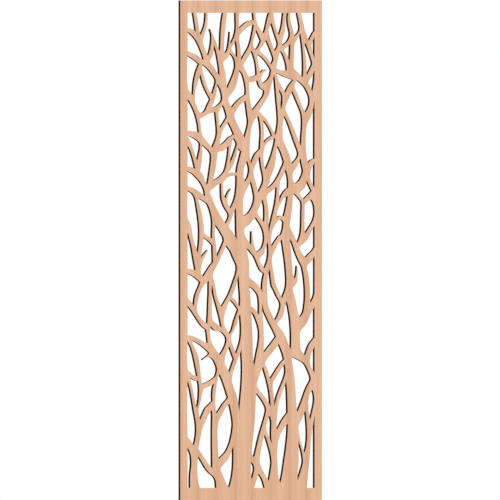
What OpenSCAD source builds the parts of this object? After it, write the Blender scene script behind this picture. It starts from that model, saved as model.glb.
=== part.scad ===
// Fretwork wood panel: an upright sheet of veneered plywood, cut right through with a
// thicket of branches inside a plain border. Millimetres, Z up, the face side looks to -Y,
// the origin lies at the middle of the bottom edge, halfway through the thickness.

/* [Panel] */
// Overall width, outer edge to outer edge
panel_w = 600; // [500:1:750]
// Overall height, floor edge to top edge
panel_h = 2000; // [1600:5:2400]
// Width of the plain upright border at each side
stile_w = 31; // [15:1:60]
// Height of the plain border at the top and at the bottom
rail_h = 50; // [20:1:120]

/* [Layers] */
// Thickness of the face and back veneer
veneer_t = 1; // [0.6:0.1:2]
// Thickness of each crossband, the ply straight under a veneer
crossband_t = 3; // [2:0.1:4]
// Thickness of the core in the middle
core_t = 14; // [8:0.5:20]
// Width of one full leaf of veneer on a panel 600 wide; it stretches with the branches
leaf_w = 230; // [200:1:240]

/* [Cutting] */
// Width of the slot that the cutting beam burns away
beam_w = 0.2; // [0.1:0.1:0.6]
// Largest turn of the cut between two straight steps, in degrees
step_turn = 14; // [12:1:30]

/* [Hidden] */
field_w = panel_w - 2 * stile_w;
field_h = panel_h - 2 * rail_h;
panel_t = 2 * veneer_t + 2 * crossband_t + core_t;
front_y = -panel_t / 2;
// The branches were drawn for a field of this size, on a panel with this left edge; they
// stretch with the field, and so do the joints between the leaves of veneer. At a few widths
// of leaf a joint passes so close to an opening that the cut frees a small bit of the leaf,
// which its glue alone holds, as on a real panel.
drawn_w = 538;
drawn_h = 1900;
drawn_bottom = 50;
drawn_left = -300;
left_x = -panel_w / 2;
seam_1 = (drawn_left + leaf_w) * field_w / drawn_w;
seam_2 = (drawn_left + 2 * leaf_w) * field_w / drawn_w;
right_x = panel_w / 2;

veneer_c = [0.88, 0.71, 0.58];
crossband_c = [0.74, 0.57, 0.43];
core_c = [0.82, 0.66, 0.52];

// Cutter paths of the openings between the branches, read off the photo by eye. Each point
// is [across, up] in millimetres from the middle of the bottom edge; a third value of 1
// marks a sharp corner, every other point is passed in a smooth curve. Points past the
// border are cut off at the border.

// Openings that stand on the bottom border, and the ones next above, left to right
cuts_1 = [
  [[-274, 498, 1], [-266, 472], [-259, 448], [-250, 402], [-241, 350], [-235, 321],
   [-232, 285], [-234, 256], [-238, 235], [-243, 219, 1], [-258, 243], [-274, 264, 1]],
  [[-274, 222, 1], [-263, 202], [-256, 184], [-253, 163], [-253, 141], [-256, 118],
   [-258, 95], [-258, 46, 1], [-274, 46, 1]],
  [[-223, 177, 1], [-211, 158], [-200, 140], [-188, 122], [-177, 110], [-165, 101],
   [-155, 90], [-149, 75], [-147, 46, 1], [-216, 46, 1], [-220, 62], [-225, 82],
   [-227, 105], [-227, 153]],
  [[-166, 361, 1], [-164, 340], [-165, 294], [-165, 204], [-164, 150], [-165, 129, 1],
   [-180, 145], [-200, 173], [-211, 190], [-223, 205, 1], [-218, 233], [-213, 255],
   [-208, 278], [-200, 302], [-190, 323], [-176, 349]],
  [[-156, 467, 1], [-161, 450], [-164, 428], [-163, 397, 1], [-182, 380], [-194, 367],
   [-203, 349], [-215, 322, 1], [-222, 350], [-219, 378], [-211, 403], [-205, 432],
   [-198, 448, 1], [-180, 454], [-166, 462]],
  [[-259, 492, 1], [-246, 484], [-224, 477, 1], [-220, 450], [-221, 415], [-225, 384],
   [-230, 370, 1], [-240, 410], [-248, 450], [-254, 475]],
  [[-92, 388, 1], [-87, 368], [-81, 340], [-77, 308], [-79, 280], [-84, 253], [-93, 222],
   [-106, 196], [-121, 180], [-137, 165, 1], [-140, 205], [-142, 250], [-142, 285],
   [-137, 315], [-124, 341], [-108, 368]],
  [[-75, 218, 1], [-75, 150], [-79, 104], [-85, 75], [-93, 51, 1], [-104, 67],
   [-115, 90], [-130, 125, 1], [-114, 146], [-97, 163], [-87, 184], [-80, 205]],
  [[1, 155, 1], [8, 146], [13, 133], [12, 115], [4, 84, 1], [0, 100], [0, 140]],
  [[32, 108, 1], [42, 93], [50, 77], [59, 46, 1], [12, 46, 1], [19, 68], [28, 93]],
  [[23, 430, 1], [44, 404], [60, 378], [64, 358], [57, 330], [45, 291], [32, 248],
   [22, 206], [13, 171, 1], [5, 186], [4, 205], [7, 239], [13, 285], [18, 350], [20, 400]],
  [[58, 262, 1], [65, 246], [75, 214], [83, 184], [87, 152], [84, 126], [78, 90],
   [73, 79, 1], [62, 99], [48, 123], [38, 148], [37, 168], [43, 205], [51, 243]],
  [[76, 340, 1], [84, 325], [86, 305], [85, 262], [88, 228, 1], [78, 250], [66, 279],
   [66, 301], [71, 322]],
  [[149, 475, 1], [152, 445], [154, 403], [155, 351, 1], [135, 326], [120, 300],
   [111, 283, 1], [108, 300], [112, 350], [117, 387], [128, 422], [141, 454]],
  [[156, 306, 1], [154, 260], [149, 215], [141, 160], [132, 103], [124, 68, 1],
   [116, 98], [112, 150], [111, 200], [118, 245], [130, 274], [145, 296]],
  [[230, 361, 1], [234, 330], [237, 285], [237, 245], [232, 208], [226, 190, 1],
   [218, 211], [209, 245], [202, 280], [204, 305], [218, 329], [225, 348]],
  [[201, 238, 1], [214, 198], [220, 165], [218, 142], [208, 111], [198, 80, 1],
   [197, 98], [202, 150], [202, 200]],
  [[274, 372, 1], [264, 308], [256, 255], [250, 185], [243, 120], [236, 46, 1],
   [274, 46, 1]],
  [[260, 443, 1], [265, 428], [268, 406], [265, 380], [257, 347], [250, 320, 1],
   [246, 345], [243, 385], [245, 413], [253, 434]]];

// Openings around a quarter of the height
cuts_2 = [
  [[-274, 648, 1], [-264, 630], [-255, 613], [-245, 580], [-235, 536], [-227, 497, 1],
   [-244, 502], [-257, 512], [-274, 534, 1]],
  [[-251, 640, 1], [-231, 632], [-215, 622], [-199, 610], [-186, 599], [-176, 588, 1],
   [-190, 575], [-206, 564, 1], [-204, 561, 1], [-192, 569], [-180, 573], [-168, 570], [-157, 559],
   [-148, 540], [-144, 526], [-148, 504], [-156, 491], [-174, 479], [-188, 472],
   [-208, 465, 1], [-212, 495], [-217, 535], [-222, 569], [-233, 599], [-246, 625]],
  [[-171, 699, 1], [-161, 685], [-150, 678], [-137, 677], [-126, 674], [-114, 664],
   [-106, 652], [-104, 640], [-107, 625], [-115, 607], [-123, 594], [-132, 581, 1],
   [-141, 592], [-155, 611], [-167, 632], [-172, 655], [-174, 678]],
  [[-46, 744, 1], [-54, 730], [-58, 712], [-64, 696], [-74, 677], [-83, 660],
   [-84, 644], [-80, 627], [-72, 608], [-64, 585, 1], [-58, 600], [-50, 622],
   [-44, 648], [-42, 680], [-43, 710]],
  [[-92, 616, 1], [-100, 600], [-108, 578], [-112, 558], [-110, 545], [-101, 528],
   [-93, 511, 1], [-85, 530], [-78, 550], [-72, 565, 1], [-80, 584], [-88, 606]],
  [[-41, 604, 1], [-47, 586], [-57, 562], [-67, 538], [-76, 514], [-81, 490],
   [-79, 468], [-70, 443], [-61, 420], [-56, 398], [-53, 378], [-50, 355, 1],
   [-47, 390], [-44, 420], [-40, 462], [-38, 500], [-38, 545], [-40, 580]],
  [[-133, 506, 1], [-140, 490], [-145, 466], [-148, 440], [-151, 415], [-151, 388],
   [-149, 365], [-147, 347, 1], [-134, 364], [-120, 385], [-107, 399], [-97, 411, 1],
   [-103, 428], [-109, 447], [-117, 469], [-126, 491]],
  [[51, 534, 1], [44, 520], [36, 502], [29, 481], [25, 462], [29, 450], [42, 433],
   [57, 415], [69, 399], [76, 388], [83, 376, 1], [81, 405], [78, 432], [72, 462],
   [66, 486], [58, 512]],
  [[118, 626, 1], [108, 612], [97, 599], [80, 580], [66, 562], [60, 549], [64, 535],
   [70, 522], [76, 505], [80, 484, 1], [91, 499], [104, 519], [118, 539], [128, 552],
   [140, 564, 1], [135, 585], [127, 606]],
  [[142, 546, 1], [134, 534], [124, 519], [111, 500], [98, 480], [92, 464], [93, 440],
   [97, 415], [98, 395], [99, 376, 1], [104, 396], [110, 417], [118, 438], [127, 459],
   [136, 479], [143, 499], [146, 522]],
  [[172, 574, 1], [184, 570], [201, 562], [217, 554], [229, 543], [240, 524],
   [248, 505], [253, 486], [248, 473], [239, 458], [228, 433], [216, 400], [206, 376],
   [196, 352, 1], [193, 375], [191, 400], [188, 445], [184, 490], [179, 525], [175, 550]],
  [[274, 628, 1], [264, 606], [255, 586], [250, 566], [250, 550], [255, 533],
   [264, 518], [274, 504, 1]],
  [[274, 784, 1], [265, 768], [258, 755], [250, 737], [241, 718], [230, 700],
   [216, 686], [208, 672], [207, 650], [208, 625], [211, 603], [219, 591], [229, 579, 1],
   [235, 596], [241, 613], [250, 630], [260, 642], [269, 652], [274, 660, 1]],
  [[151, 799, 1], [146, 782], [142, 762], [138, 745], [131, 730], [120, 718],
   [112, 706], [119, 694], [130, 681], [140, 667], [150, 646], [159, 624], [169, 604, 1],
   [170, 640], [169, 685], [165, 731], [158, 772]],
  [[48, 788, 1], [47, 765], [50, 735], [52, 700], [54, 665], [55, 630], [54, 605],
   [56, 592, 1], [68, 608], [82, 625], [95, 641], [106, 655, 1], [96, 676], [83, 700],
   [69, 728], [57, 752], [51, 770]],
  [[2, 754, 1], [2, 735], [4, 700], [6, 665], [7, 630], [8, 590], [9, 563],
   [13, 537, 1], [18, 560], [24, 590], [30, 616], [34, 643], [35, 668], [31, 695],
   [22, 721], [12, 743]]];

// Openings below the middle of the panel
cuts_3 = [
  [[-274, 787, 1], [-262, 771], [-246, 750], [-229, 725], [-212, 701], [-200, 690],
   [-190, 683, 1], [-187, 665], [-185, 648], [-183, 629, 1], [-201, 635], [-218, 644],
   [-236, 653], [-254, 659], [-274, 662, 1]],
  [[-274, 910, 1], [-262, 905], [-246, 897], [-231, 887], [-215, 873, 1], [-220, 858],
   [-229, 839], [-236, 820], [-240, 800], [-242, 776, 1], [-250, 790], [-260, 801],
   [-274, 818, 1]],
  [[-179, 878, 1], [-186, 872], [-197, 863], [-208, 846], [-217, 828], [-224, 803],
   [-229, 780], [-229, 760], [-222, 742], [-212, 728], [-199, 716], [-185, 706, 1],
   [-183, 740], [-181, 790], [-179, 830]],
  [[-164, 862, 1], [-167, 845], [-167, 820], [-165, 797], [-166, 760], [-165, 732],
   [-161, 719], [-149, 709], [-136, 699], [-125, 692, 1], [-128, 710], [-134, 736],
   [-142, 765], [-151, 795], [-158, 822], [-161, 842]],
  [[-104, 1020, 1], [-97, 1010], [-87, 997], [-78, 977], [-68, 956], [-61, 940],
   [-60, 922], [-65, 900], [-75, 874], [-84, 849], [-95, 823], [-109, 799],
   [-125, 774, 1], [-134, 792], [-144, 816], [-149, 842], [-155, 872], [-162, 897],
   [-155, 921], [-144, 941], [-134, 958], [-126, 978], [-117, 995], [-109, 1009]],
  [[-53, 902, 1], [-58, 882], [-63, 862], [-70, 840], [-76, 825], [-79, 813],
   [-71, 806], [-62, 796], [-55, 786], [-48, 774, 1], [-46, 800], [-48, 840], [-51, 875]],
  [[-87, 802, 1], [-98, 786], [-105, 765], [-111, 746], [-116, 724], [-113, 702],
   [-107, 687], [-99, 675], [-92, 666, 1], [-83, 678], [-77, 697], [-70, 721],
   [-62, 743], [-54, 763, 1], [-63, 776], [-74, 790]],
  [[-274, 1074, 1], [-265, 1064], [-261, 1047], [-256, 1031], [-251, 1009],
   [-246, 980], [-241, 953], [-235, 920, 1], [-250, 925], [-274, 928, 1]],
  [[-202, 1052, 1], [-189, 1044], [-176, 1034], [-163, 1020, 1], [-162, 990],
   [-161, 952, 1], [-170, 943], [-180, 929], [-190, 914], [-203, 895, 1], [-212, 907],
   [-212, 922], [-209, 944], [-204, 960], [-196, 973], [-189, 986], [-182, 1000, 1],
   [-184, 1002, 1], [-193, 993], [-202, 983], [-212, 970, 1], [-209, 990], [-206, 1012], [-203, 1033]],
  [[-19, 1009, 1], [-8, 1001], [1, 989], [13, 976], [21, 959], [28, 943], [36, 926],
   [45, 915], [56, 908, 1], [52, 890], [48, 868], [47, 850], [49, 832, 1], [42, 845],
   [33, 857], [20, 871], [5, 882], [-6, 892], [-8, 925], [-9, 955], [-14, 985]],
  [[70, 1034, 1], [64, 1017], [59, 1002], [56, 989], [48, 979], [38, 969], [37, 957],
   [44, 944], [57, 928, 1], [64, 944], [70, 962], [73, 985], [73, 1012]],
  [[130, 1044, 1], [119, 1031], [110, 1018], [103, 1003], [93, 985], [89, 968],
   [89, 948], [93, 925], [98, 898], [103, 872], [113, 845], [122, 828], [132, 807, 1],
   [138, 824], [145, 842], [149, 860], [150, 885], [148, 915], [145, 950], [140, 985],
   [135, 1018]],
  [[79, 926, 1], [73, 908], [70, 880], [68, 850], [69, 815], [71, 788], [77, 767],
   [87, 746], [101, 720, 1], [109, 732], [117, 749], [123, 767], [125, 783],
   [121, 798], [110, 815], [98, 840], [89, 856], [85, 876], [82, 900]],
  [[165, 1045, 1], [166, 1020], [170, 995], [172, 965], [175, 930], [178, 905],
   [185, 885, 1], [191, 904], [193, 920], [194, 938, 1], [196, 938, 1], [197, 915],
   [198, 892], [195, 872],
   [186, 859], [177, 848], [178, 838], [183, 822], [190, 796], [195, 772], [199, 750],
   [206, 732, 1], [216, 743], [223, 760], [227, 785], [229, 818], [228, 855],
   [225, 888], [221, 912], [217, 931], [211, 944], [204, 956], [196, 973], [188, 992],
   [180, 1013], [173, 1033]],
  [[274, 985, 1], [262, 965], [252, 952], [241, 943], [236, 932], [241, 912],
   [246, 888], [249, 860], [250, 830], [251, 790, 1], [260, 804], [266, 818],
   [269, 834], [274, 850, 1]],
  [[-9, 856, 1], [1, 851], [12, 843], [23, 831], [30, 818], [33, 800], [34, 775],
   [33, 742, 1], [26, 752], [18, 763], [9, 771], [-1, 777, 1], [-2, 800], [-5, 835]]];

// Openings above the middle of the panel
cuts_4 = [
  [[-274, 1243, 1], [-263, 1237], [-250, 1229], [-240, 1215], [-235, 1201],
   [-230, 1173], [-225, 1142], [-220, 1100], [-219, 1065], [-220, 1035], [-223, 1010],
   [-226, 988, 1], [-233, 1009], [-241, 1034], [-248, 1064], [-254, 1098],
   [-261, 1116], [-274, 1139, 1]],
  [[-274, 1321, 1], [-262, 1314], [-249, 1307], [-237, 1297], [-227, 1287],
   [-216, 1275], [-208, 1263], [-201, 1249], [-196, 1232], [-195, 1215, 1],
   [-206, 1225], [-220, 1236], [-236, 1245], [-251, 1252], [-274, 1259, 1]],
  [[-224, 1207, 1], [-213, 1204], [-202, 1198], [-189, 1190], [-181, 1180],
   [-174, 1162], [-168, 1140], [-164, 1115], [-165, 1080], [-165, 1047, 1],
   [-177, 1055], [-189, 1062], [-199, 1071], [-200, 1095], [-205, 1128],
   [-211, 1158], [-217, 1180], [-222, 1194]],
  [[-151, 1103, 1], [-154, 1080], [-153, 1052], [-149, 1025], [-146, 995],
   [-143, 973, 1], [-136, 991], [-127, 1010], [-118, 1030], [-115, 1042],
   [-119, 1056], [-128, 1070], [-138, 1086]],
  [[-127, 1268, 1], [-143, 1261], [-160, 1248], [-174, 1235], [-172, 1224],
   [-164, 1208], [-158, 1191], [-148, 1172], [-139, 1155], [-127, 1135],
   [-108, 1107, 1], [-99, 1122], [-94, 1140], [-98, 1151], [-109, 1167],
   [-119, 1187], [-125, 1207], [-127, 1235]],
  [[-61, 1300, 1], [-82, 1297], [-98, 1292], [-109, 1282], [-117, 1270],
   [-118, 1250], [-117, 1232], [-114, 1218], [-108, 1207, 1], [-104, 1220],
   [-98, 1232], [-92, 1240], [-85, 1247, 1], [-83, 1245, 1], [-90, 1235], [-95, 1224],
   [-99, 1208],
   [-100, 1193], [-96, 1181], [-88, 1168, 1], [-81, 1179], [-74, 1193], [-68, 1210],
   [-64, 1230], [-61, 1262]],
  [[-64, 1170, 1], [-72, 1155], [-78, 1137], [-84, 1121], [-93, 1103], [-93, 1092],
   [-84, 1081], [-74, 1068], [-66, 1055], [-60, 1040, 1], [-62, 1080], [-63, 1130]],
  [[-1, 1277, 1], [-9, 1261], [-18, 1244], [-27, 1226], [-32, 1206], [-34, 1180],
   [-33, 1158], [-32, 1138, 1], [-21, 1142], [-11, 1150], [0, 1165], [8, 1181],
   [14, 1203], [13, 1222], [8, 1247]],
  [[19, 1133, 1], [8, 1121], [-4, 1106], [-17, 1096], [-27, 1086], [-28, 1070],
   [-23, 1056], [-14, 1041], [0, 1022, 1], [1, 1045], [2, 1077, 1], [4, 1076, 1],
   [6, 1058],
   [9, 1037], [14, 1015], [22, 993, 1], [36, 1000], [47, 1012], [54, 1033],
   [56, 1052], [52, 1076], [43, 1098], [32, 1115]],
  [[48, 1204, 1], [42, 1188], [34, 1171], [26, 1152], [31, 1141], [41, 1130],
   [55, 1113, 1], [57, 1135], [57, 1160], [55, 1182]],
  [[108, 1256, 1], [99, 1246], [85, 1235], [72, 1226], [66, 1213], [69, 1190],
   [73, 1166], [75, 1130], [74, 1100], [75, 1071, 1], [80, 1096], [87, 1125],
   [94, 1152], [101, 1182], [105, 1206], [108, 1232]],
  [[155, 1219, 1], [145, 1211], [134, 1201], [126, 1187], [117, 1170], [111, 1152],
   [108, 1130, 1], [116, 1135], [125, 1139], [139, 1136, 1], [145, 1158],
   [150, 1182], [154, 1204]],
  [[123, 1125, 1], [131, 1121], [138, 1113, 1], [136, 1093], [133, 1078],
   [127, 1063, 1], [116, 1056], [105, 1041], [95, 1027], [87, 1014, 1], [85, 1035],
   [87, 1060], [91, 1080], [98, 1096], [109, 1111]],
  [[274, 1108, 1], [264, 1092], [257, 1077], [250, 1062], [241, 1046], [230, 1034],
   [214, 1022], [205, 1010], [211, 998], [220, 984], [231, 971, 1], [241, 982],
   [251, 991], [261, 1001], [267, 1010], [274, 1022, 1]],
  [[255, 1204, 1], [240, 1195], [229, 1184], [227, 1170], [227, 1130], [227, 1095],
   [228, 1067, 1], [238, 1080], [248, 1095], [257, 1109], [264, 1123], [269, 1143],
   [269, 1165], [266, 1183], [261, 1195]],
  [[181, 1228, 1], [177, 1206], [175, 1180], [171, 1145], [165, 1112], [165, 1094],
   [173, 1077], [184, 1056], [190, 1043], [196, 1029, 1], [204, 1046], [210, 1068],
   [213, 1100], [214, 1150], [214, 1192, 1], [204, 1206], [193, 1219]],
  [[236, 1281, 1], [233, 1263], [226, 1249], [215, 1239], [206, 1228], [211, 1218],
   [222, 1204, 1], [233, 1214], [245, 1225], [257, 1238, 1], [249, 1253], [242, 1268]],
  [[145, 1325, 1], [141, 1308], [132, 1292], [124, 1277], [122, 1258], [120, 1235],
   [120, 1194, 1], [126, 1212], [135, 1229], [146, 1242], [157, 1251, 1], [158, 1270],
   [156, 1292], [151, 1312]]];

// Openings around three quarters of the height
cuts_5 = [
  [[210, 1370, 1], [206, 1360], [200, 1343], [190, 1328], [179, 1314], [176, 1300],
   [177, 1283], [185, 1268, 1], [197, 1272], [206, 1281], [214, 1297], [220, 1317],
   [217, 1336], [213, 1352]],
  [[274, 1362, 1], [265, 1344], [258, 1331], [253, 1316], [250, 1300], [252, 1285],
   [259, 1268], [269, 1250], [274, 1243, 1]],
  [[274, 1612, 1], [268, 1595], [264, 1570], [258, 1547], [249, 1526], [239, 1506],
   [234, 1485], [232, 1450], [232, 1415], [235, 1385], [241, 1347, 1], [247, 1355],
   [256, 1363], [269, 1368], [274, 1370, 1]],
  [[174, 1638, 1], [168, 1626], [160, 1606], [151, 1588], [146, 1572], [147, 1559],
   [155, 1543], [166, 1520], [179, 1492], [191, 1464], [203, 1436], [212, 1417, 1],
   [213, 1445], [216, 1485], [217, 1515], [214, 1547], [205, 1571], [193, 1597],
   [182, 1622]],
  [[141, 1537, 1], [136, 1520], [134, 1495], [134, 1465], [135, 1445], [141, 1429],
   [149, 1413], [157, 1396], [164, 1378], [172, 1346, 1], [183, 1356], [193, 1367],
   [200, 1382], [199, 1396], [190, 1419], [179, 1447], [168, 1478], [158, 1505],
   [149, 1525]],
  [[98, 1703, 1], [93, 1685], [87, 1665], [82, 1645], [77, 1627], [67, 1607],
   [52, 1584], [33, 1557, 1], [50, 1540], [65, 1526], [76, 1507], [88, 1488],
   [104, 1461, 1], [109, 1480], [113, 1503], [114, 1525], [112, 1560], [108, 1600],
   [104, 1645], [101, 1680]],
  [[118, 1645, 1], [120, 1630], [124, 1612], [125, 1595], [125, 1580], [127, 1562, 1],
   [131, 1580], [133, 1597], [133, 1614], [129, 1628]],
  [[51, 1521, 1], [53, 1500], [55, 1475], [54, 1450], [55, 1429, 1], [61, 1438],
   [70, 1447], [80, 1454], [89, 1459, 1], [83, 1475], [73, 1494], [62, 1510]],
  [[102, 1450, 1], [88, 1442], [74, 1434], [63, 1422], [56, 1407], [53, 1388],
   [52, 1368], [55, 1345], [61, 1323, 1], [69, 1337], [78, 1358], [87, 1382],
   [94, 1405], [100, 1428]],
  [[111, 1419, 1], [107, 1396], [105, 1370], [102, 1345], [97, 1325], [90, 1309],
   [83, 1292], [78, 1272], [66, 1249, 1], [78, 1254], [88, 1262], [98, 1273],
   [106, 1284], [113, 1296], [120, 1308], [128, 1326], [139, 1351, 1], [134, 1372],
   [126, 1394], [119, 1408]],
  [[37, 1378, 1], [31, 1365], [24, 1352], [16, 1335], [11, 1316], [11, 1300],
   [17, 1281], [24, 1258], [31, 1231, 1], [41, 1250], [49, 1267], [52, 1285],
   [50, 1304], [45, 1325], [41, 1348]],
  [[-17, 1358, 1], [-24, 1344], [-30, 1327], [-31, 1305], [-30, 1290], [-27, 1274, 1],
   [-18, 1285], [-12, 1297], [-8, 1315], [-8, 1328], [-11, 1343]],
  [[32, 1537, 1], [20, 1528], [9, 1511], [2, 1492], [-2, 1465], [-5, 1435],
   [-6, 1400], [-5, 1375], [0, 1346, 1], [6, 1361], [13, 1378], [22, 1391],
   [38, 1405, 1], [39, 1430], [41, 1465], [40, 1490], [37, 1515]],
  [[-274, 1612, 1], [-264, 1600], [-256, 1588], [-247, 1571], [-238, 1551],
   [-231, 1530], [-225, 1504], [-221, 1470, 1], [-235, 1475], [-252, 1478],
   [-274, 1479, 1]],
  [[-270, 1457, 1], [-258, 1456], [-245, 1451], [-232, 1443], [-222, 1435],
   [-216, 1425], [-218, 1400], [-223, 1378], [-228, 1359, 1], [-235, 1375],
   [-242, 1396], [-248, 1415], [-254, 1432], [-261, 1446]],
  [[-274, 1428, 1], [-265, 1414], [-258, 1401], [-252, 1384], [-246, 1365],
   [-241, 1346], [-236, 1325, 1], [-246, 1331], [-258, 1335], [-274, 1336, 1]],
  [[-209, 1423, 1], [-198, 1416], [-186, 1406], [-175, 1394], [-169, 1380],
   [-170, 1355], [-174, 1325], [-178, 1300], [-181, 1280], [-187, 1261, 1],
   [-193, 1274], [-199, 1292], [-206, 1306], [-215, 1318], [-212, 1337],
   [-208, 1362], [-206, 1390]],
  [[-151, 1554, 1], [-166, 1549], [-182, 1545], [-196, 1536], [-217, 1526, 1],
   [-214, 1505], [-211, 1482], [-207, 1462], [-196, 1446], [-181, 1430],
   [-164, 1411, 1], [-156, 1428], [-148, 1448], [-144, 1470], [-145, 1495],
   [-148, 1525]],
  [[-97, 1514, 1], [-107, 1500], [-116, 1486], [-123, 1470], [-128, 1452],
   [-133, 1422, 1], [-120, 1427], [-108, 1437], [-97, 1449], [-86, 1457],
   [-72, 1464, 1], [-80, 1482], [-89, 1500]],
  [[-119, 1583, 1], [-127, 1570], [-135, 1558], [-138, 1544], [-136, 1522],
   [-131, 1488, 1], [-122, 1502], [-112, 1517], [-102, 1533, 1], [-106, 1549],
   [-112, 1568]],
  [[-95, 1419, 1], [-105, 1408], [-118, 1398], [-139, 1393], [-143, 1378],
   [-147, 1350], [-152, 1318], [-157, 1300], [-162, 1279, 1], [-150, 1284],
   [-138, 1291], [-126, 1301], [-115, 1313], [-107, 1331], [-102, 1355], [-97, 1385]],
  [[-73, 1449, 1], [-80, 1435], [-84, 1415], [-87, 1393], [-88, 1370], [-88, 1350, 1],
   [-82, 1363], [-75, 1381], [-68, 1401], [-61, 1420], [-62, 1432]],
  [[-55, 1409, 1], [-49, 1403], [-41, 1396, 1], [-47, 1373], [-54, 1347],
   [-59, 1325], [-60, 1311, 1], [-78, 1311], [-98, 1310, 1], [-87, 1322],
   [-78, 1337], [-70, 1354], [-64, 1374], [-58, 1394]],
  [[-23, 1598, 1], [-37, 1590], [-49, 1579], [-61, 1563], [-70, 1547], [-70, 1533],
   [-62, 1513], [-50, 1490], [-39, 1471], [-28, 1449, 1], [-22, 1470], [-15, 1493],
   [-12, 1517], [-15, 1540], [-19, 1570]]];

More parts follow.
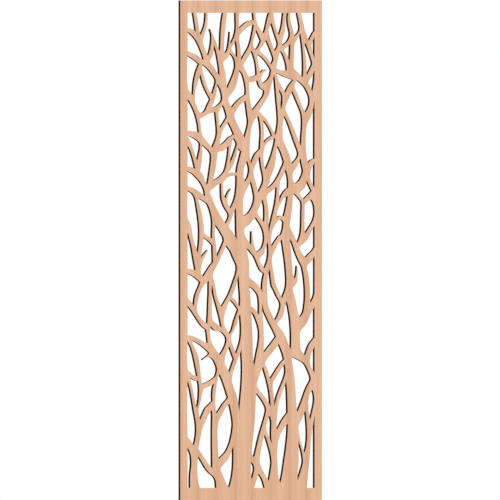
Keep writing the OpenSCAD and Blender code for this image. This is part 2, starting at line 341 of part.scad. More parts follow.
// Openings that hang from the top border, and the ones next below
cuts_6 = [
  [[-214, 1704, 1], [-221, 1686], [-228, 1665], [-235, 1642], [-238, 1615],
   [-237, 1594], [-229, 1574], [-222, 1557], [-213, 1550], [-203, 1551],
   [-194, 1560], [-185, 1579], [-172, 1604, 1], [-181, 1620], [-192, 1640],
   [-203, 1665], [-209, 1684]],
  [[-274, 1782, 1], [-261, 1775], [-247, 1766], [-234, 1757], [-220, 1745, 1],
   [-227, 1729], [-235, 1706], [-241, 1680], [-244, 1655], [-246, 1620, 1],
   [-254, 1630], [-264, 1645], [-274, 1660, 1]],
  [[-274, 1876, 1], [-260, 1869], [-247, 1857], [-235, 1843], [-225, 1826],
   [-216, 1807], [-208, 1788], [-200, 1761, 1], [-213, 1769], [-227, 1780],
   [-242, 1787], [-258, 1793], [-274, 1801, 1]],
  [[-274, 1954, 1], [-246, 1954, 1], [-242, 1932], [-238, 1905], [-233, 1873, 1],
   [-244, 1883], [-257, 1888], [-274, 1889, 1]],
  [[-233, 1954, 1], [-192, 1954, 1], [-193, 1932], [-196, 1908], [-202, 1887],
   [-215, 1860, 1], [-219, 1882], [-224, 1911], [-228, 1934]],
  [[-183, 1954, 1], [-117, 1954, 1], [-122, 1930], [-126, 1900], [-129, 1865],
   [-130, 1830], [-132, 1797, 1], [-141, 1812], [-147, 1830], [-155, 1849],
   [-164, 1868], [-172, 1885, 1], [-175, 1886, 1], [-169, 1866], [-168, 1843], [-171, 1818],
   [-176, 1795], [-183, 1777, 1], [-189, 1793], [-197, 1812], [-203, 1831],
   [-201, 1850], [-194, 1872], [-187, 1893], [-184, 1920]],
  [[-157, 1821, 1], [-158, 1800], [-160, 1783], [-168, 1769], [-173, 1755],
   [-165, 1743], [-155, 1729], [-146, 1715], [-134, 1699, 1], [-135, 1725],
   [-139, 1752], [-144, 1778], [-150, 1802]],
  [[-208, 1744, 1], [-196, 1737], [-184, 1728], [-172, 1714], [-161, 1700],
   [-150, 1682, 1], [-151, 1665], [-157, 1647], [-164, 1625, 1], [-174, 1636],
   [-184, 1652], [-191, 1670], [-198, 1694], [-205, 1717]],
  [[-143, 1666, 1], [-145, 1645], [-148, 1622], [-154, 1604], [-166, 1573, 1],
   [-152, 1574], [-141, 1580], [-129, 1591], [-123, 1603], [-123, 1620],
   [-128, 1640], [-135, 1655]],
  [[-90, 1789, 1], [-95, 1776], [-104, 1765], [-116, 1755], [-116, 1738],
   [-109, 1712], [-105, 1680], [-102, 1645, 1], [-94, 1663], [-84, 1684],
   [-75, 1705], [-68, 1728], [-67, 1748], [-71, 1765], [-79, 1779]],
  [[-102, 1954, 1], [-65, 1954, 1], [-65, 1925], [-64, 1900], [-66, 1876],
   [-72, 1853], [-86, 1825, 1], [-88, 1843], [-88, 1874, 1], [-90, 1875, 1],
   [-92, 1850],
   [-96, 1820], [-100, 1803], [-110, 1788, 1], [-114, 1804], [-113, 1840],
   [-110, 1875], [-106, 1912], [-103, 1938]],
  [[-65, 1840, 1], [-73, 1824], [-82, 1811], [-82, 1801], [-72, 1789],
   [-59, 1770, 1], [-59, 1795], [-61, 1820]],
  [[12, 1903, 1], [0, 1899], [-14, 1893], [-29, 1881], [-42, 1868], [-50, 1853],
   [-48, 1832], [-44, 1805], [-41, 1759, 1], [-34, 1774], [-25, 1789], [-14, 1806],
   [-6, 1823], [0, 1844], [6, 1870]],
  [[-50, 1954, 1], [8, 1954, 1], [10, 1938], [12, 1921, 1], [-5, 1918], [-19, 1913],
   [-31, 1905], [-41, 1896], [-52, 1887, 1], [-51, 1920]],
  [[20, 1954, 1], [79, 1954, 1], [71, 1933], [66, 1912], [62, 1892], [54, 1868, 1],
   [44, 1879], [33, 1893], [26, 1910], [21, 1932]],
  [[22, 1882, 1], [18, 1866], [12, 1848], [9, 1830], [11, 1814], [18, 1802, 1],
   [29, 1811], [36, 1824], [42, 1838, 1], [35, 1855], [28, 1871]],
  [[64, 1843, 1], [57, 1829], [48, 1815], [38, 1801], [47, 1789], [59, 1779],
   [70, 1766], [86, 1744, 1], [91, 1753], [95, 1765], [91, 1781], [83, 1801],
   [75, 1820], [69, 1833]],
  [[86, 1910, 1], [78, 1893], [74, 1877], [78, 1858], [84, 1838], [91, 1820],
   [101, 1796, 1], [107, 1806], [114, 1824, 1], [108, 1847], [100, 1869], [93, 1891]],
  [[94, 1954, 1], [137, 1954, 1], [134, 1925], [129, 1893], [118, 1860, 1],
   [110, 1880], [103, 1900], [98, 1925]],
  [[148, 1954, 1], [158, 1954, 1], [155, 1930], [156, 1910], [160, 1890],
   [164, 1872], [164, 1857], [158, 1842], [148, 1830], [130, 1818, 1], [133, 1842],
   [138, 1860], [144, 1878], [146, 1898], [145, 1920], [147, 1936]],
  [[166, 1954, 1], [195, 1954, 1], [198, 1937], [203, 1914], [206, 1894],
   [203, 1877], [195, 1865], [183, 1856, 1], [179, 1878], [173, 1898], [168, 1915],
   [166, 1935]],
  [[210, 1954, 1], [274, 1954, 1], [274, 1884, 1], [269, 1878], [261, 1868],
   [254, 1856], [245, 1838, 1], [237, 1857], [229, 1879], [224, 1900], [218, 1923]],
  [[274, 1868, 1], [266, 1848], [260, 1834], [257, 1818], [259, 1801], [264, 1783],
   [269, 1766, 1], [274, 1755, 1]],
  [[209, 1870, 1], [203, 1856], [195, 1843], [186, 1829], [183, 1810], [182, 1775],
   [180, 1740], [184, 1726], [195, 1716], [206, 1705], [219, 1692, 1], [221, 1715],
   [221, 1750], [219, 1790], [215, 1830]],
  [[230, 1832, 1], [227, 1815], [228, 1798], [232, 1775], [235, 1745], [235, 1720],
   [236, 1701, 1], [243, 1713], [252, 1729], [259, 1747], [254, 1767], [247, 1788],
   [239, 1809]],
  [[274, 1735, 1], [267, 1717], [261, 1700], [252, 1686], [243, 1673], [248, 1660],
   [254, 1648], [259, 1634, 1], [263, 1652], [267, 1675], [269, 1700], [274, 1712, 1]],
  [[194, 1681, 1], [187, 1667], [184, 1653], [190, 1641], [198, 1625], [206, 1604],
   [214, 1583], [222, 1565], [230, 1552, 1], [239, 1565], [246, 1581], [248, 1597],
   [246, 1616], [238, 1634], [228, 1652], [217, 1664], [205, 1674]],
  [[107, 1709, 1], [122, 1704], [137, 1697], [155, 1690], [179, 1682, 1],
   [168, 1669], [157, 1654], [145, 1630, 1], [137, 1644], [127, 1660], [118, 1677],
   [113, 1693]],
  [[123, 1798, 1], [119, 1783], [114, 1764], [110, 1745], [108, 1730], [117, 1724],
   [131, 1720], [151, 1719, 1], [151, 1733], [147, 1752], [141, 1771], [134, 1787]],
  [[166, 1826, 1], [157, 1816], [148, 1810], [140, 1801], [147, 1790], [154, 1779],
   [163, 1757, 1], [165, 1780], [166, 1803]],
  [[-9, 1672, 1], [9, 1674], [27, 1679, 1], [32, 1664], [40, 1650], [56, 1640, 1],
   [55, 1625], [46, 1609], [34, 1594], [21, 1577], [5, 1561, 1], [-2, 1590],
   [-6, 1620], [-8, 1645]],
  [[-51, 1721, 1], [-53, 1697], [-60, 1670], [-69, 1645], [-82, 1627], [-95, 1612],
   [-95, 1596], [-81, 1570, 1], [-72, 1583], [-61, 1595], [-48, 1607], [-36, 1615],
   [-23, 1623, 1], [-22, 1645], [-26, 1670], [-32, 1695], [-40, 1711]],
  [[1, 1800, 1], [-5, 1785], [-14, 1770], [-25, 1755], [-32, 1739], [-24, 1723],
   [-17, 1707], [-9, 1694, 1], [6, 1696], [24, 1702, 1], [23, 1722], [20, 1747],
   [14, 1770], [8, 1788]],
  [[26, 1783, 1], [38, 1778], [50, 1769], [62, 1756], [74, 1740], [85, 1722, 1],
   [83, 1706], [77, 1692], [68, 1680], [51, 1667, 1], [44, 1681], [45, 1697],
   [53, 1711], [70, 1722, 1], [69, 1724, 1], [54, 1723], [46, 1717], [39, 1709, 1], [36, 1722],
   [32, 1742], [28, 1763]]];

cuts = concat(cuts_1, cuts_2, cuts_3, cuts_4, cuts_5, cuts_6);

// A drawn point, stretched to the field of this panel
function placed(p) = [p[0] * field_w / drawn_w,
  rail_h + (p[1] - drawn_bottom) * field_h / drawn_h];
function sharp(p) = len(p) > 2;
function unit(v) = v / norm(v);
function bend(u, v) = acos(min(1, unit(u) * unit(v)));

// Direction of travel at a smooth point, parallel to the line through its neighbours
function heading(path, i) = let (n = len(path))
  unit(placed(path[(i + 1) % n]) - placed(path[(i + n - 1) % n]));

// Curve from one drawn point to the next, without its last point
function stretch(path, i) = let (
    n = len(path), j = (i + 1) % n,
    a = placed(path[i]), b = placed(path[j]), chord = b - a,
    out_free = sharp(path[i]), in_free = sharp(path[j]),
    out_turn = out_free ? chord : heading(path, i) * norm(chord),
    in_turn = in_free ? chord : heading(path, j) * norm(chord),
    u = out_free && !in_free ? 1.5 * chord - 0.5 * in_turn : out_turn,
    v = in_free && !out_free ? 1.5 * chord - 0.5 * out_turn : in_turn,
    steps = min(4, max(1, ceil((bend(u, chord) + bend(chord, v)) / step_turn))))
  [for (s = [0 : steps - 1]) let (t = s / steps)
    a * (1 + 2 * t) * pow(1 - t, 2) + u * t * pow(1 - t, 2)
    + b * t * t * (3 - 2 * t) - v * t * t * (1 - t)];

function cutter_path(path) =
  [for (i = [0 : len(path) - 1]) each stretch(path, i)];

// One sheet between two uprights, with the branches left standing; the beam takes half
// its width from every edge
module sheet(from_x, to_x) {
  offset(delta = -beam_w / 2) difference() {
    translate([from_x - beam_w / 2, -beam_w / 2])
      square([to_x - from_x + beam_w, panel_h + beam_w]);
    intersection() {
      translate([-field_w / 2 + beam_w / 2, rail_h + beam_w / 2])
        square([field_w - beam_w, field_h - beam_w]);
      for (path = cuts) polygon(cutter_path(path));
    }
  }
}

// Stands a sheet up, its face at the given depth
module layer(depth, thick, from_x = left_x, to_x = right_x) {
  translate([0, front_y + depth + thick, 0]) rotate([90, 0, 0])
    linear_extrude(thick) sheet(from_x, to_x);
}

module front_veneer_left() { color(veneer_c) layer(0, veneer_t, left_x, seam_1); }
module front_veneer_centre() { color(veneer_c) layer(0, veneer_t, seam_1, seam_2); }
module front_veneer_right() { color(veneer_c) layer(0, veneer_t, seam_2, right_x); }
module front_crossband() { color(crossband_c) layer(veneer_t, crossband_t); }
module core() { color(core_c) layer(veneer_t + crossband_t, core_t); }
module back_crossband() {
  color(crossband_c) layer(veneer_t + crossband_t + core_t, crossband_t);
}
module back_veneer_left() {
  color(veneer_c) layer(panel_t - veneer_t, veneer_t, left_x, seam_1);
}
module back_veneer_centre() {
  color(veneer_c) layer(panel_t - veneer_t, veneer_t, seam_1, seam_2);
}
module back_veneer_right() {
  color(veneer_c) layer(panel_t - veneer_t, veneer_t, seam_2, right_x);
}

front_veneer_left();
front_veneer_centre();
front_veneer_right();
front_crossband();
core();
back_crossband();
back_veneer_left();
back_veneer_centre();
back_veneer_right();
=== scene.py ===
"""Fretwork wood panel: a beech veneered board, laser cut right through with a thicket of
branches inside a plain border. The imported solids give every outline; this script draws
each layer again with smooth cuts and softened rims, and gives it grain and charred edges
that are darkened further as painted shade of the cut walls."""

import math

import bpy
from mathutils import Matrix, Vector


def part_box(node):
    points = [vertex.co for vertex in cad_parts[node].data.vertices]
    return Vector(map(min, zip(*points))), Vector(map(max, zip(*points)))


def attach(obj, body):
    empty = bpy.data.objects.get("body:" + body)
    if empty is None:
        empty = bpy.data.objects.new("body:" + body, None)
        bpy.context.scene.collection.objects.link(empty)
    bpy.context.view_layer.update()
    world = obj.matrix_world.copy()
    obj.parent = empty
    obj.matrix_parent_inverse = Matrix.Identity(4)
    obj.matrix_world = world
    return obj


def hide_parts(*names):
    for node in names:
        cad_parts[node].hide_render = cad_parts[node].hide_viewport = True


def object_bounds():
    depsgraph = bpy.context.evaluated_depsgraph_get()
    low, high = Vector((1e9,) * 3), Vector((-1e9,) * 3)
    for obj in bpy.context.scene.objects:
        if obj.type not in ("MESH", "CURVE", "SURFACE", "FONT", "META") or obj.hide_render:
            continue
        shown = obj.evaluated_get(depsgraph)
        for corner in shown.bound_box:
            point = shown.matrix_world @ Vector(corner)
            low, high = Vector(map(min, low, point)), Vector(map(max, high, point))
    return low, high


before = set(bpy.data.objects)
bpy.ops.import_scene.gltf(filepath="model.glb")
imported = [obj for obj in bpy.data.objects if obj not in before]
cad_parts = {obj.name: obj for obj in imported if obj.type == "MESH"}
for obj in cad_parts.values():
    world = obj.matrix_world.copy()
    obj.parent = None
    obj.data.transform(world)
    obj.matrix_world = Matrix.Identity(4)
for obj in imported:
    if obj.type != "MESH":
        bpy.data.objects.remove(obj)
cad_low, cad_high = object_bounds()

# Sizes in metres
first_leaf_low, first_leaf_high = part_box("front_veneer_left")
LEFT_EDGE = first_leaf_low.x    # where the first leaf starts
LEAF_WIDTH = first_leaf_high.x - first_leaf_low.x
RIM = 0.00015           # softened rim where a cut meets a face of the board
LONGEST_STEP = 0.012    # between two points of a smooth cut
FACE_DEPTH = 0.0001     # triangles this close to a layer's front belong to its face
ON_SEAM = 0.00002       # a point this close to a joint between leaves lies on it
SAME_FACE = 0.00001     # faces this close together are one face
SAME_POINT = 0.000002   # points this close together are welded into one
PLACES = 100_000        # steps to a metre in which packed points are told apart

# The run of a cut
CORNER = math.radians(38)       # a turn above this is a real corner
SMOOTH_TURN = math.radians(5)   # the most that a smooth cut turns at one point
MOST_STEPS = 4          # from one packed point to the next
STRAIGHT_ON = 0.05      # sine of the turn below which two edges count as one line
MOST_MOVE = 3           # rims that a sharp point may move into the wood
SHARP_RIM = math.radians(30)    # a fold above this is shaded as an edge

# Figure of the beech
SLICE = 0.05            # how much deeper in the log each leaf is sliced than the last
FRONT_FLITCH, BACK_FLITCH = 0.0, 3.7    # where in the log each face's leaves begin
BANDS = 3               # broad bands of growth to a leaf
BAND_START = -1.05      # turn of the first band at a leaf's left edge
BAND_SHIFT = 0.3        # how far the outer bands stand apart from the middle one
BAND_WANDER = 2.4       # how far they wander on the way up
FACE_RELIEF, EDGE_RELIEF = 0.00006, 0.00012     # depth of the pores and of the streaks
RELIEF_SHARE = 0.5

# Patterns, in repeats to a metre across, through and up the board
WANDER = (4, 1, 0.8)
WIDE_GRAIN, FINE_GRAIN, FLECKS = (90, 1, 0.9), (700, 1, 9), (1500, 1, 130)
UPRIGHT_FIBRES, CROSS_FIBRES = (700, 1, 9), (9, 1, 700)
UPRIGHT_PORES, CROSS_PORES = (900, 900, 60), (60, 900, 1200)
BEAM_STREAKS, SOOT = (900, 45, 900), (55, 120, 55)

# Colours as they look on the screen: faces dark and pale, cut edges dark and pale
BEECH, BEECH_FLECK = ((210, 165, 132), (230, 188, 158)), (188, 136, 101)
BARE_CROSS, BARE_CORE, BARE_PALE = (188, 146, 110), (204, 162, 126), (214, 170, 135)
# cut edges: charred wood, made darker still as painted shade of the cut walls
BURNT_AND_SHADED_BEECH = (50, 22, 6), (82, 43, 15)
BURNT_AND_SHADED_CROSS = (40, 17, 4), (66, 32, 10)
BURNT_AND_SHADED_CORE = (48, 21, 5), (78, 39, 13)
BURNT_AND_SHADED_PORE = (37, 17, 6)

# Light and camera
SKY_LIGHT, KEY_LIGHT = 0.75, 1.13
KEY_FROM = (0.45, -1.0, 0.55)
KEY_SOFTNESS = math.radians(25)
FLOOR_HALF, FLOOR_GREY = 12, 0.86
AZIMUTH = math.radians(-19.26)
ACROSS, UP = -0.00065, 1.00144  # what the middle of the picture looks at, in metres
PICTURE_HEIGHT = 2.0
CAMERA_DISTANCE = 6.0


# The cutter path, read off the edge of a packed layer

def rim_loops(node):
    """Closed loops round a node's front face as (x, z) points, with the wood on the left."""
    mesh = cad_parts[node].data
    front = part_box(node)[0].y
    follows = {}
    place = {}
    edges = set()
    for face in mesh.polygons:
        if face.normal.y > -0.9 or abs(face.center.y - front) > FACE_DEPTH:
            continue
        keys = []
        for corner in face.vertices:
            spot = mesh.vertices[corner].co
            key = (round(spot.x * PLACES), round(spot.z * PLACES))
            place[key] = Vector((spot.x, spot.z))
            keys.append(key)
        for start, end in zip(keys, keys[1:] + keys[:1]):
            if (end, start) in edges:
                edges.discard((end, start))
            else:
                edges.add((start, end))
    for start, end in edges:
        follows[start] = end
    loops = []
    while follows:
        key, end = next(iter(sorted(follows.items())))
        loop = []
        while key in follows:
            loop.append(place[key])
            key = follows.pop(key)
        loops.append(loop)
    return loops


def turn(before, spot, after):
    """Angle by which the path bends at a spot."""
    return (spot - before).angle(after - spot, 0.0)


def smoothed(loop, seams):
    """The same path with more points between the corners, on a smooth curve that leaves
    and reaches each packed point along the line between its neighbours."""
    count = len(loop)
    on_seam = [any(abs(p.x - s) < ON_SEAM for s in seams) for p in loop]
    corner = [
        on_seam[i] or turn(loop[i - 1], loop[i], loop[(i + 1) % count]) > CORNER
        for i in range(count)
    ]
    path = []
    for i in range(count):
        j = (i + 1) % count
        start, end = loop[i], loop[j]
        chord = end - start
        path.append(start)
        if corner[i] and corner[j]:
            continue
        before, after = loop[i - 1], loop[(j + 1) % count]
        leave = (end - before).normalized() * chord.length
        arrive = (after - start).normalized() * chord.length
        # a corner holds no direction, so the curve runs into it with an even bend
        if corner[i]:
            leave = 1.5 * chord - 0.5 * arrive
        if corner[j]:
            arrive = 1.5 * chord - 0.5 * leave
        bend = leave.angle(chord, 0.0) + chord.angle(arrive, 0.0)
        steps = max(math.ceil(bend / SMOOTH_TURN), math.ceil(chord.length / LONGEST_STEP))
        steps = min(MOST_STEPS, max(1, steps))
        for step in range(1, steps):
            t = step / steps
            path.append(
                start * (1 + 2 * t) * (1 - t) ** 2
                + leave * t * (1 - t) ** 2
                + end * t * t * (3 - 2 * t)
                - arrive * t * t * (1 - t)
            )
    return path


def into_wood(path, seams):
    """For each point the move that sets both its edges one unit into the wood. An edge
    that lies on a seam between two leaves stays where it is."""
    count = len(path)

    def side(start, end):
        along = (end - start).normalized()
        seam = any(abs(start.x - s) < ON_SEAM and abs(end.x - s) < ON_SEAM for s in seams)
        return Vector((-along.y, along.x)), 0.0 if seam else 1.0

    moves = []
    for i in range(count):
        first, first_move = side(path[i - 1], path[i])
        second, second_move = side(path[i], path[(i + 1) % count])
        cross = first.x * second.y - first.y * second.x
        if abs(cross) < STRAIGHT_ON:
            move = (first + second).normalized() * (first_move + second_move) / 2
        else:
            move = Vector((
                (first_move * second.y - second_move * first.y) / cross,
                (second_move * first.x - first_move * second.x) / cross,
            ))
        if move.length > MOST_MOVE:
            move *= MOST_MOVE / move.length
        moves.append(move)
    return moves


def cutter_path(node, seams):
    """Edge mesh of a node's cut outline, drawn flat: across on X, up on Y."""
    spots, moves, edges = [], [], []
    for loop in rim_loops(node):
        path = smoothed(loop, seams)
        start = len(spots)
        spots += [(p.x, p.y, 0.0) for p in path]
        moves += [(m.x, m.y, 0.0) for m in into_wood(path, seams)]
        edges += [(start + i, start + (i + 1) % len(path)) for i in range(len(path))]
    mesh = bpy.data.meshes.new(node + "_path")
    mesh.from_pydata(spots, edges, [])
    attribute = mesh.attributes.new("into_wood", "FLOAT_VECTOR", "POINT")
    attribute.data.foreach_set("vector", [c for m in moves for c in m])
    return mesh


# Node tree that turns a cutter path into one layer of the board

def new_node(tree, kind, **settings):
    """A node of this kind in a tree, with its settings made."""
    node = tree.nodes.new(kind)
    for name, value in settings.items():
        setattr(node, name, value)
    return node


def layer_tree():
    """Fills the path, gives it thickness and softens the rim of either face."""
    tree = bpy.data.node_groups.new("sheet of board", "GeometryNodeTree")
    inputs = [
        ("Cutter path", "NodeSocketGeometry"),
        ("Front face at", "NodeSocketFloat"),
        ("Thickness", "NodeSocketFloat"),
        ("Front rim", "NodeSocketFloat"),
        ("Back rim", "NodeSocketFloat"),
        ("Wood", "NodeSocketMaterial"),
    ]
    for name, kind in inputs:
        tree.interface.new_socket(name, in_out="INPUT", socket_type=kind)
    tree.interface.new_socket("Layer", in_out="OUTPUT", socket_type="NodeSocketGeometry")
    link = tree.links.new
    given = new_node(tree, "NodeGroupInput")
    path, front, thickness, front_rim, back_rim, wood = given.outputs[:len(inputs)]

    def worked_out(how, *values):
        node = new_node(tree, "ShaderNodeMath", operation=how)
        for value, slot in zip(values, node.inputs):
            link(value, slot)
        return node.outputs[0]

    def upright(height):
        node = new_node(tree, "ShaderNodeCombineXYZ")
        link(height, node.inputs["Z"])
        return node.outputs[0]

    move = new_node(tree, "GeometryNodeInputNamedAttribute", data_type="FLOAT_VECTOR")
    move.inputs["Name"].default_value = "into_wood"

    def inset(rim):
        node = new_node(tree, "ShaderNodeVectorMath", operation="SCALE")
        link(move.outputs["Attribute"], node.inputs[0])
        link(rim, node.inputs["Scale"])
        return node.outputs[0]

    def moved(shape, offset, only=None):
        node = new_node(tree, "GeometryNodeSetPosition")
        link(shape, node.inputs["Geometry"])
        link(offset, node.inputs["Offset"])
        if only is not None:
            link(only, node.inputs["Selection"])
        return node.outputs[0]

    def drawn_out(shape, height):
        node = new_node(tree, "GeometryNodeExtrudeMesh", mode="EDGES")
        link(shape, node.inputs["Mesh"])
        link(upright(height), node.inputs["Offset"])
        node.inputs["Offset Scale"].default_value = 1.0
        return node.outputs["Mesh"], node.outputs["Top"]

    def flipped(shape):
        node = new_node(tree, "GeometryNodeFlipFaces")
        link(shape, node.inputs[0])
        return node.outputs[0]

    def filled(shape):
        curve = new_node(tree, "GeometryNodeMeshToCurve")
        link(shape, curve.inputs[0])
        fill = new_node(tree, "GeometryNodeFillCurve")
        link(curve.outputs[0], fill.inputs["Curve"])
        return fill.outputs[0]

    back = worked_out("SUBTRACT", front, thickness)
    wall_top = worked_out("SUBTRACT", front, front_rim)
    wall_foot = worked_out("ADD", back, back_rim)
    top_path = moved(path, upright(wall_top))
    foot_path = moved(path, upright(wall_foot))
    wall, _ = drawn_out(top_path, worked_out("SUBTRACT", wall_foot, wall_top))
    front_strip, front_edge = drawn_out(top_path, front_rim)
    back_strip, back_edge = drawn_out(foot_path, worked_out("SUBTRACT", back, wall_foot))
    # a filled curve always lies at height 0, so it is lifted to its place afterwards
    front_face = moved(filled(moved(path, inset(front_rim))), upright(front))
    back_face = moved(filled(moved(path, inset(back_rim))), upright(back))
    parts = [
        wall,
        flipped(moved(front_strip, inset(front_rim), front_edge)),
        moved(back_strip, inset(back_rim), back_edge),
        front_face,
        flipped(back_face),
    ]
    join = new_node(tree, "GeometryNodeJoinGeometry")
    for part in parts:
        link(part, join.inputs[0])
    weld = new_node(tree, "GeometryNodeMergeByDistance")
    link(join.outputs[0], weld.inputs["Geometry"])
    weld.inputs["Distance"].default_value = SAME_POINT
    stand = new_node(tree, "GeometryNodeTransform")
    link(weld.outputs[0], stand.inputs["Geometry"])
    stand.inputs["Rotation"].default_value = (math.pi / 2, 0.0, 0.0)
    real = new_node(tree, "GeometryNodeRealizeInstances")
    link(stand.outputs[0], real.inputs[0])
    paint = new_node(tree, "GeometryNodeSetMaterial")
    link(real.outputs[0], paint.inputs["Geometry"])
    link(wood, paint.inputs["Material"])
    result = new_node(tree, "NodeGroupOutput")
    link(paint.outputs[0], result.inputs[0])
    return tree


def cut_layer(name, node, wood, seams, tree):
    """One layer of the board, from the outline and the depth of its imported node."""
    low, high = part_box(node)
    piece = bpy.data.objects.new(name, cutter_path(node, seams))
    bpy.context.scene.collection.objects.link(piece)
    sizes = {
        "Front face at": -low.y,
        "Thickness": high.y - low.y,
        # where two layers meet, the beam cuts straight on through both
        "Front rim": RIM if low.y < cad_low.y + SAME_FACE else 0.0,
        "Back rim": RIM if high.y > cad_high.y - SAME_FACE else 0.0,
        "Wood": wood,
    }
    build = piece.modifiers.new("sheet of board", "NODES")
    build.node_group = tree
    for item in tree.interface.items_tree:
        if item.in_out == "INPUT" and item.name in sizes:
            build[item.identifier] = sizes[item.name]
    bpy.context.view_layer.update()
    graph = bpy.context.evaluated_depsgraph_get()
    made = bpy.data.meshes.new_from_object(piece.evaluated_get(graph))
    piece.modifiers.remove(build)
    piece.data = made
    made.name = name
    spare = made.attributes.get("into_wood")
    if spare:
        made.attributes.remove(spare)
    made.shade_smooth()
    made.set_sharp_from_angle(angle=SHARP_RIM)
    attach(piece, "root")
    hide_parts(node)


# Materials

class Finish:
    """A node material, with short calls for the nodes that it is made of. A value may be
    a number, a colour or another node's output."""

    def __init__(self, name):
        self.material = bpy.data.materials.new(name)
        self.material.use_nodes = True
        self.tree = self.material.node_tree
        self.tree.nodes.clear()
        self.surface = self.node("ShaderNodeBsdfPrincipled")
        output = self.node("ShaderNodeOutputMaterial")
        self.link(self.surface.outputs[0], output.inputs["Surface"])
        self.here = self.node("ShaderNodeTexCoord").outputs["Object"]

    def node(self, kind, **settings):
        return new_node(self.tree, kind, **settings)

    def link(self, source, target):
        self.tree.links.new(source, target)

    def put(self, value, target):
        if isinstance(value, bpy.types.NodeSocket):
            self.link(value, target)
        else:
            target.default_value = value

    def math(self, operation, *values, clamp=False):
        node = self.node("ShaderNodeMath", operation=operation, use_clamp=clamp)
        for value, target in zip(values, node.inputs):
            self.put(value, target)
        return node.outputs[0]

    def parts(self, vector):
        node = self.node("ShaderNodeSeparateXYZ")
        self.link(vector, node.inputs[0])
        return node.outputs

    def vector(self, x, y, z):
        node = self.node("ShaderNodeCombineXYZ")
        for value, target in zip((x, y, z), node.inputs):
            self.put(value, target)
        return node.outputs[0]

    def noise(self, vector, scale, detail=2.0, rough=0.5, start=(0, 0, 0)):
        stretch = self.node("ShaderNodeMapping")
        self.link(vector, stretch.inputs["Vector"])
        stretch.inputs["Scale"].default_value = scale
        stretch.inputs["Location"].default_value = start
        node = self.node("ShaderNodeTexNoise")
        self.link(stretch.outputs[0], node.inputs["Vector"])
        node.inputs["Scale"].default_value = 1.0
        node.inputs["Detail"].default_value = detail
        node.inputs["Roughness"].default_value = rough
        return node.outputs[0]

    def spread(self, value, low, high, to_low=0.0, to_high=1.0):
        node = self.node("ShaderNodeMapRange", interpolation_type="SMOOTHSTEP")
        for source, target in zip((value, low, high, to_low, to_high), node.inputs):
            self.put(source, target)
        return node.outputs[0]

    def mix(self, share, first, second):
        node = self.node("ShaderNodeMix", data_type="RGBA")
        for value, target in zip((share, first, second), (node.inputs[0], *node.inputs[6:8])):
            self.put(value, target)
        return node.outputs[2]

    def bump(self, height, distance):
        node = self.node("ShaderNodeBump")
        self.link(height, node.inputs["Height"])
        node.inputs["Distance"].default_value = distance
        node.inputs["Strength"].default_value = RELIEF_SHARE
        return node.outputs[0]

    def give(self, **inputs):
        for name, value in inputs.items():
            self.put(value, self.surface.inputs[name.replace("_", " ")])


def shade(red, green, blue):
    """A colour of the screen, made linear for a shader socket."""
    def linear(level):
        level /= 255
        return level / 12.92 if level <= 0.04045 else ((level + 0.055) / 1.055) ** 2.4
    return (linear(red), linear(green), linear(blue), 1.0)


def burnt_and_shaded_share(finish):
    """1 on a cut edge, where the charred colour with its painted shade goes, 0 on the faces
    of the board and their softened rims.
    """
    normal = finish.parts(finish.node("ShaderNodeNewGeometry").outputs["True Normal"])
    # 1 on a face, 0.7 on a rim, which is cut at 45 degrees, and 0 inside a cut
    facing = finish.math("ABSOLUTE", normal["Y"])
    return finish.spread(facing, 0.3, 0.6, 1.0, 0.0)


def burnt_and_shaded_edge(finish, dark, pale):
    """Colour and height of a cut edge: streaks that the beam leaves through the board,
    under a soot that is thicker in places. Its colours are charred wood, darkened further
    as painted shade of the cut walls."""
    streaks = finish.noise(finish.here, BEAM_STREAKS, 3.0, 0.6)
    soot = finish.noise(finish.here, SOOT)
    share = finish.spread(finish.math("MULTIPLY", streaks, soot), 0.06, 0.50)
    return finish.mix(share, shade(*dark), shade(*pale)), streaks


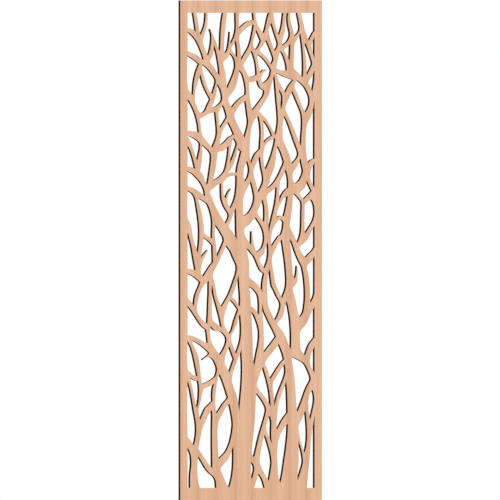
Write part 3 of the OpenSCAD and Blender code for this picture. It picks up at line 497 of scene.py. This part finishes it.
def beech_face(name, flitch):
    """Slip-matched leaves of steamed beech; flitch tells the front leaves from the back."""
    finish = Finish(name)
    x, _, z = finish.parts(finish.here)
    from_left = finish.math("ADD", x, -LEFT_EDGE)
    leaves = finish.math("DIVIDE", from_left, LEAF_WIDTH)
    leaf = finish.math("FLOOR", leaves)
    across = finish.math("MULTIPLY", finish.math("FRACT", leaves), LEAF_WIDTH)
    depth = finish.math("MULTIPLY_ADD", leaf, SLICE, flitch)
    grain = finish.vector(across, depth, z)

    # broad bands of growth, which stand a little unevenly and wander on the way up
    wander = finish.noise(grain, WANDER, 1.0)
    around = finish.math("MULTIPLY", across, 2 * math.pi / LEAF_WIDTH)
    apart = finish.math("MULTIPLY_ADD", finish.math("COSINE", around), -BAND_SHIFT,
                        BAND_START - math.pi / 2)
    phase = finish.math("MULTIPLY_ADD", around, BANDS,
                        finish.math("MULTIPLY_ADD", wander, BAND_WANDER, apart))
    wave = finish.math("SINE", phase)
    stripes = finish.math("MULTIPLY", finish.math("MULTIPLY", wave, wave), wave)
    bands = finish.math("MULTIPLY_ADD", stripes, 0.5, 0.5)

    # wide and fine grain lines over them
    wide = finish.noise(grain, WIDE_GRAIN, 3.0, 0.6)
    fine = finish.noise(grain, FINE_GRAIN, 3.0, 0.65)
    lines = finish.math("MULTIPLY_ADD", wide, 1.3, fine)
    tone = finish.math("MULTIPLY_ADD", bands, 0.55,
                       finish.math("ADD", lines, -0.92), clamp=True)
    dark, pale = BEECH
    wood = finish.mix(tone, shade(*dark), shade(*pale))

    # the short brown flecks of the rays that beech is known by
    flecks = finish.noise(grain, FLECKS, 1.0, 0.4, (0, 3.1, 0))
    fleck = finish.spread(flecks, 0.60, 0.72)
    wood = finish.mix(finish.math("MULTIPLY", fleck, 0.55), wood, shade(*BEECH_FLECK))

    # the cut edges: charred beech, darkened further as painted shade of the cut walls
    edge, _ = burnt_and_shaded_edge(finish, *BURNT_AND_SHADED_BEECH)
    height = finish.math("MULTIPLY_ADD", fleck, -0.6, fine)
    finish.give(
        Base_Color=finish.mix(burnt_and_shaded_share(finish), wood, edge),
        Roughness=finish.spread(fine, 0.2, 0.8, 0.7, 0.56),
        Specular_IOR_Level=0.08,
        Normal=finish.bump(height, FACE_RELIEF),
    )
    return finish.material


def bare_ply(name, fibres, pores, bare, burnt_and_shaded):
    """An inner layer, of which only the charred cut edges show, darkened further as painted
    shade of the cut walls. Its faces, under the glue, are bare wood."""
    finish = Finish(name)
    fibre = finish.noise(finish.here, fibres, 3.0, 0.6)
    wood = finish.mix(fibre, shade(*bare), shade(*BARE_PALE))
    edge, streaks = burnt_and_shaded_edge(finish, *burnt_and_shaded)
    pore = finish.spread(finish.noise(finish.here, pores), 0.5, 0.75, 0.0, 0.35)
    edge = finish.mix(pore, edge, shade(*BURNT_AND_SHADED_PORE))
    finish.give(
        Base_Color=finish.mix(burnt_and_shaded_share(finish), wood, edge),
        Roughness=0.85,
        Specular_IOR_Level=0.0,
        Normal=finish.bump(streaks, EDGE_RELIEF),
    )
    return finish.material


front_beech = beech_face("front beech", FRONT_FLITCH)
back_beech = beech_face("back beech", BACK_FLITCH)
cross_ply = bare_ply("cross ply", CROSS_FIBRES, CROSS_PORES, BARE_CROSS, BURNT_AND_SHADED_CROSS)
core_ply = bare_ply("core ply", UPRIGHT_FIBRES, UPRIGHT_PORES, BARE_CORE, BURNT_AND_SHADED_CORE)


# The board, from its front to its back

tree = layer_tree()
seams = [LEFT_EDGE + LEAF_WIDTH, LEFT_EDGE + 2 * LEAF_WIDTH]
for name, node, wood, slot in [
    ("front_leaf_left", "front_veneer_left", front_beech, "face_veneer"),
    ("front_leaf_centre", "front_veneer_centre", front_beech, "face_veneer"),
    ("front_leaf_right", "front_veneer_right", front_beech, "face_veneer"),
    ("front_cross_ply", "front_crossband", cross_ply, "crossband"),
    ("core_board", "core", core_ply, "core"),
    ("back_cross_ply", "back_crossband", cross_ply, "crossband"),
    ("back_leaf_left", "back_veneer_left", back_beech, "face_veneer"),
    ("back_leaf_centre", "back_veneer_centre", back_beech, "face_veneer"),
    ("back_leaf_right", "back_veneer_right", back_beech, "face_veneer"),
]:
    cut_layer(name, node, wood, seams if "leaf" in name else [], tree)


# Floor, light and camera

def white_to_camera(nodes, links, lit):
    """What the camera and mirrors see is plain white; the light stays as it is."""
    path = nodes.new("ShaderNodeLightPath")
    seen = path.outputs["Is Camera Ray"]
    for name in ("Is Glossy Ray", "Is Transmission Ray"):
        either = nodes.new("ShaderNodeMath")
        either.operation = "MAXIMUM"
        links.new(seen, either.inputs[0])
        links.new(path.outputs[name], either.inputs[1])
        seen = either.outputs[0]
    mix = nodes.new("ShaderNodeMixShader")
    links.new(seen, mix.inputs[0])
    links.new(lit.outputs[0], mix.inputs[1])
    return mix


world = bpy.data.worlds.new("studio")
bpy.context.scene.world = world
world.use_nodes = True
nodes, links = world.node_tree.nodes, world.node_tree.links
nodes.clear()
soft = nodes.new("ShaderNodeBackground")
soft.inputs["Color"].default_value = (1, 1, 1, 1)
soft.inputs["Strength"].default_value = SKY_LIGHT
white = nodes.new("ShaderNodeBackground")
white.inputs["Color"].default_value = (1, 1, 1, 1)
white.inputs["Strength"].default_value = 1.0
mix = white_to_camera(nodes, links, soft)
links.new(white.outputs[0], mix.inputs[2])
links.new(mix.outputs[0], nodes.new("ShaderNodeOutputWorld").inputs["Surface"])

floor_mesh = bpy.data.meshes.new("floor")
corners = [(-1, -1), (1, -1), (1, 1), (-1, 1)]
floor_mesh.from_pydata([(x * FLOOR_HALF, y * FLOOR_HALF, 0) for x, y in corners], [],
                       [(0, 1, 2, 3)])
floor = bpy.data.objects.new("floor", floor_mesh)
bpy.context.scene.collection.objects.link(floor)
matt = Finish("pale floor")
matt.give(Base_Color=(FLOOR_GREY, FLOOR_GREY, FLOOR_GREY, 1.0), Roughness=0.9,
          Specular_IOR_Level=0.1)
floor_mesh.materials.append(matt.material)

sun = bpy.data.lights.new("soft key", "SUN")
sun.energy = KEY_LIGHT
sun.angle = KEY_SOFTNESS
key = bpy.data.objects.new("soft key", sun)
bpy.context.scene.collection.objects.link(key)
key.rotation_euler = Vector(KEY_FROM).to_track_quat("Z", "Y").to_euler()

away = Vector((math.sin(AZIMUTH), -math.cos(AZIMUTH), 0.0))
right = Vector((math.cos(AZIMUTH), math.sin(AZIMUTH), 0.0))
lens = bpy.data.cameras.new("camera")
lens.type = "ORTHO"
lens.ortho_scale = PICTURE_HEIGHT
lens.clip_start, lens.clip_end = 0.1, 60.0
camera = bpy.data.objects.new("camera", lens)
bpy.context.scene.collection.objects.link(camera)
camera.location = right * ACROSS + Vector((0, 0, UP)) + away * CAMERA_DISTANCE
camera.rotation_euler = away.to_track_quat("Z", "Y").to_euler()
bpy.context.scene.camera = camera
bpy.context.scene.view_settings.view_transform = "Standard"
